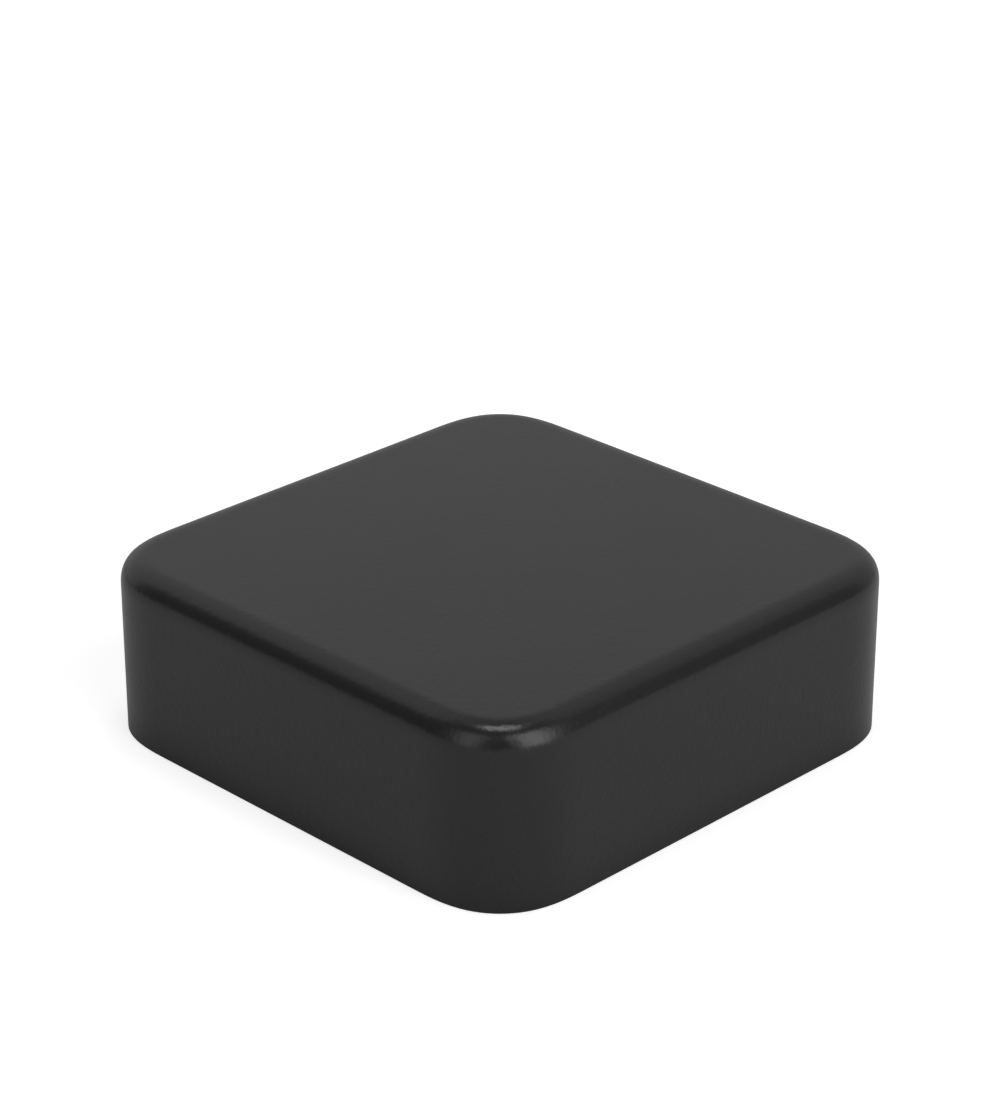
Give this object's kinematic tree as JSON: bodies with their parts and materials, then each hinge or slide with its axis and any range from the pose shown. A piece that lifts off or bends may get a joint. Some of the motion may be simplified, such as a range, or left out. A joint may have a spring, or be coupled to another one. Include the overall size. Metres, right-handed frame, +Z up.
{
  "type": "fence post cap",
  "caption": "Square flat-topped metal post cap with rounded corners, slide-in rubber grip strips and a rubber seat gasket.",
  "frame": {"origin": "centre of the open rim, on the plane that the rim stands on", "axes": "+Z up through the crown, along the post; X and Y square to the four flat sides"},
  "size_m": [0.07, 0.07, 0.0226],
  "materials": {
    "powder_coat_black": "satin, fine-textured powder coat on die-cast aluminium",
    "gasket_rubber": "matte EPDM sheet, die-cut",
    "strip_rubber": "matte moulded EPDM"
  },
  "bodies": {
    "root": {"cap_shell": "powder_coat_black", "seat_gasket": "gasket_rubber", "grip_strip_right_front": "strip_rubber", "grip_strip_right_back": "strip_rubber", "grip_strip_back_right": "strip_rubber", "grip_strip_back_left": "strip_rubber", "grip_strip_left_back": "strip_rubber", "grip_strip_left_front": "strip_rubber", "grip_strip_front_left": "strip_rubber", "grip_strip_front_right": "strip_rubber"}
  },
  "joints": []
}
